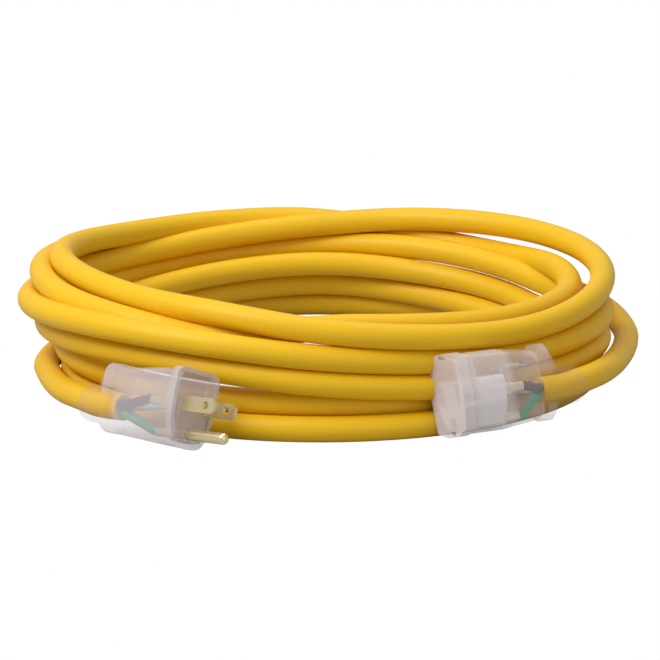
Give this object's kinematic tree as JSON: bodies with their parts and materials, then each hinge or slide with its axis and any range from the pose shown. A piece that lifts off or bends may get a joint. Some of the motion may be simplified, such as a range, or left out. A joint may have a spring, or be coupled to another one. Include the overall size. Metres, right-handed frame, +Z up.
{
  "type": "extension cord",
  "caption": "outdoor three-wire extension cord in a round coil, with a clear moulded plug and a clear moulded connector lying in front",
  "frame": {"origin": "under the middle of the whole object, on the surface that it lies on", "axes": "+Z up; -Y is the side where both ends of the cord lie, the plug towards -X and the connector towards +X"},
  "size_m": [0.2737, 0.3011, 0.0573],
  "materials": {
    "cord_jacket": "satin yellow vinyl jacket",
    "clear_vinyl": "clear, slightly milky moulded vinyl",
    "white_block": "white moulded plastic",
    "brass": "bright rolled brass",
    "copper": "bare stranded copper",
    "black_insulation": "black wire insulation",
    "white_insulation": "white wire insulation",
    "green_insulation": "green wire insulation",
    "lamp_glass": "clear glass envelope",
    "resistor_body": "lacquered ceramic",
    "tinned_wire": "tinned copper wire"
  },
  "bodies": {
    "root": {"plug_jacket_end": "cord_jacket", "line_blade": "brass", "neutral_blade": "brass", "ground_pin": "brass", "plug_line_crimp": "brass", "plug_line_copper": "copper", "plug_black_wire": "black_insulation", "plug_neutral_crimp": "brass", "plug_neutral_copper": "copper", "plug_white_wire": "white_insulation", "plug_ground_crimp": "brass", "plug_ground_copper": "copper", "plug_green_wire": "green_insulation", "plug_body": "clear_vinyl", "plug_lead": "cord_jacket", "line_contact": "brass", "neutral_contact": "brass", "ground_contact": "brass", "contact_block": "white_block", "connector_jacket_end": "cord_jacket", "connector_line_crimp": "brass", "connector_line_copper": "copper", "connector_black_wire": "black_insulation", "connector_neutral_crimp": "brass", "connector_neutral_copper": "copper", "connector_white_wire": "white_insulation", "connector_ground_crimp": "brass", "connector_ground_copper": "copper", "connector_green_wire": "green_insulation", "pilot_lamp": "lamp_glass", "lamp_resistor": "resistor_body", "lamp_leads": "tinned_wire", "connector_body": "clear_vinyl", "connector_lead": "cord_jacket", "cord_coil": "cord_jacket"}
  },
  "joints": []
}
